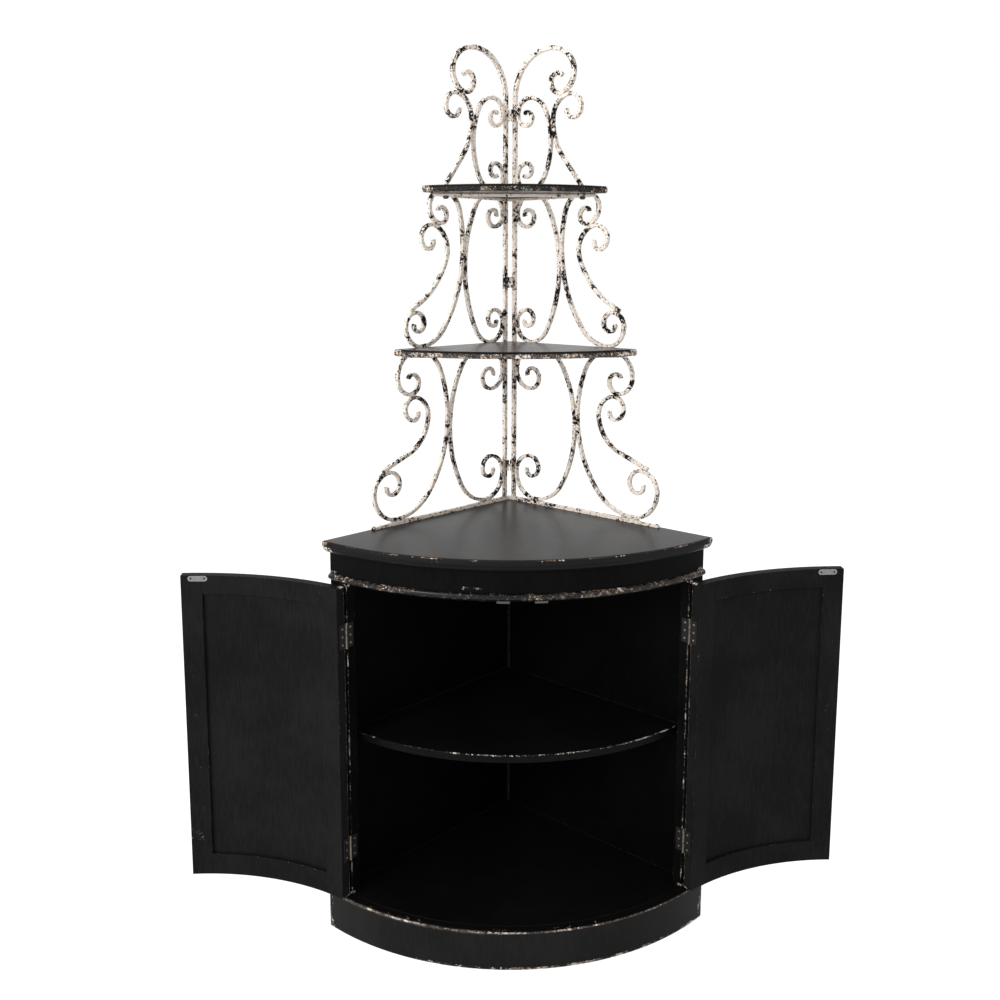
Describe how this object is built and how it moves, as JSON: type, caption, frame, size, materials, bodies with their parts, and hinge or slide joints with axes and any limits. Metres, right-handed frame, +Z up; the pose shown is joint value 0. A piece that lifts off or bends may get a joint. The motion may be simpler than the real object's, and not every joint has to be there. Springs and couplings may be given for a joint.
{
  "type": "corner cabinet",
  "caption": "Quarter-round corner cabinet with curved hinged doors, an inner shelf and a wrought iron scroll rack that carries small display shelves above the top.",
  "frame": {"origin": "room corner at floor level, where the two back faces meet the floor", "axes": "+Z up, -Y out of the corner toward the curved front, X = 0 the middle plane between the two walls, +X to the right seen from the front"},
  "size_m": [1.3908, 0.56, 1.848],
  "materials": {
    "black_paint": "satin black paint on wood, worn through at the edges",
    "worn_black": "black paint with brown worn edges",
    "antique_iron": "antique cream paint, chipped to dark iron",
    "dark_steel": "dark coated steel",
    "bright_steel": "bright zinc plated steel",
    "brass_pin": "plain brass",
    "catch_plastic": "dark plastic housing",
    "dark_knob": "black painted knob"
  },
  "bodies": {
    "carcass": {"left_wall_panel": "black_paint", "right_wall_panel": "black_paint", "plinth": "black_paint", "bottom_board": "black_paint", "left_post": "black_paint", "right_post": "black_paint", "apron": "black_paint", "bead_moulding": "black_paint", "ovolo_moulding": "black_paint", "tabletop": "black_paint", "interior_shelf": "black_paint", "shelf_cleats": "black_paint", "left_crest_bar": "antique_iron", "left_base_rail": "antique_iron", "left_low_inner_scroll": "antique_iron", "left_low_outer_scroll": "antique_iron", "left_low_brace_scroll": "antique_iron", "left_high_inner_scroll": "antique_iron", "left_high_outer_scroll": "antique_iron", "left_high_brace_scroll": "antique_iron", "left_crest_inner_scroll": "antique_iron", "left_crest_brace_scroll": "antique_iron", "right_crest_bar": "antique_iron", "right_base_rail": "antique_iron", "right_low_inner_scroll": "antique_iron", "right_low_outer_scroll": "antique_iron", "right_low_brace_scroll": "antique_iron", "right_high_inner_scroll": "antique_iron", "right_high_outer_scroll": "antique_iron", "right_high_brace_scroll": "antique_iron", "right_crest_inner_scroll": "antique_iron", "right_crest_brace_scroll": "antique_iron", "middle_shelf_frame": "antique_iron", "top_shelf_frame": "antique_iron", "middle_display_shelf": "worn_black", "top_display_shelf": "worn_black", "magnetic_catches": "catch_plastic", "jamb_leaves": "dark_steel", "hinge_pins": "brass_pin", "joining_bolts": "dark_steel"},
    "left_door": {"left_door_meeting_stile": "black_paint", "left_door_hinge_stile": "black_paint", "left_door_top_rail": "black_paint", "left_door_bottom_rail": "black_paint", "left_door_panel": "black_paint", "left_door_leaves": "dark_steel", "left_door_strike_plate": "bright_steel", "left_door_knob": "dark_knob"},
    "right_door": {"right_door_meeting_stile": "black_paint", "right_door_hinge_stile": "black_paint", "right_door_top_rail": "black_paint", "right_door_bottom_rail": "black_paint", "right_door_panel": "black_paint", "right_door_leaves": "dark_steel", "right_door_strike_plate": "bright_steel", "right_door_knob": "dark_knob"}
  },
  "joints": [
    {"name": "left_door_hinge", "type": "hinge", "parent": "carcass", "child": "left_door", "pos_m": [-0.34642, -0.41606, 0.4145], "axis": [0, 0, 1], "range_deg": [0, 178]},
    {"name": "right_door_hinge", "type": "hinge", "parent": "carcass", "child": "right_door", "pos_m": [0.34642, -0.41606, 0.4145], "axis": [0, 0, 1], "range_deg": [-178, 0]}
  ]
}
